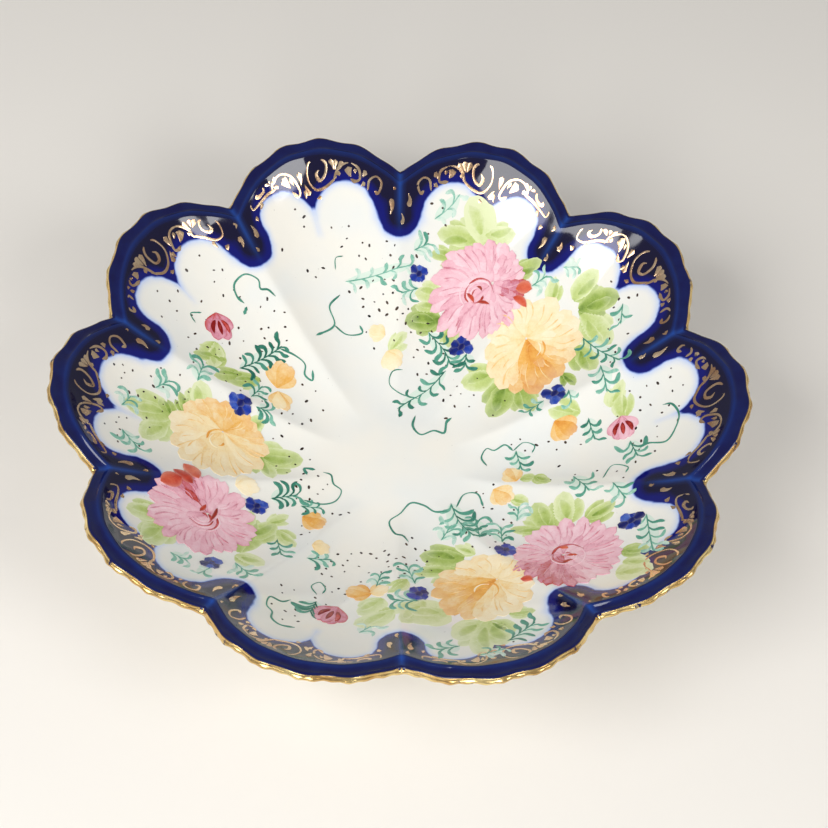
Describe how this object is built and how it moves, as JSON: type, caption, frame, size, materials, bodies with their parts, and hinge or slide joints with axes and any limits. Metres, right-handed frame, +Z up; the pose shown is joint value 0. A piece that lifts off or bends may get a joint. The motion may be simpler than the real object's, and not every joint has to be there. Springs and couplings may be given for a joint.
{
  "type": "serving bowl",
  "caption": "Open porcelain serving bowl with a moulded, lobed and ruffled rim, a cobalt border with gilt scrolls, painted flower sprays inside and a low foot ring.",
  "frame": {"origin": "on the table under the middle of the bowl, at the centre of the foot ring's standing face", "axes": "+Z up along the bowl's axis; +X through the middle of a lobe; +Y through a notch between two lobes"},
  "size_m": [0.254, 0.2456, 0.0585],
  "materials": {
    "white_glaze": "clear glossy glaze over white porcelain",
    "foot_porcelain": "glazed sides, bare biscuit on the face that it stands on",
    "gilding": "worn burnished gold",
    "pink_enamel": "glossy overglaze enamel",
    "yellow_enamel": "glossy overglaze enamel",
    "red_enamel": "glossy overglaze enamel",
    "green_enamel": "glossy overglaze enamel",
    "teal_enamel": "glossy overglaze enamel",
    "blue_enamel": "glossy overglaze enamel",
    "dark_enamel": "glossy overglaze enamel"
  },
  "bodies": {
    "root": {"bowl_shell": "white_glaze", "foot_ring": "foot_porcelain", "rim_gilding": "gilding"}
  },
  "joints": []
}
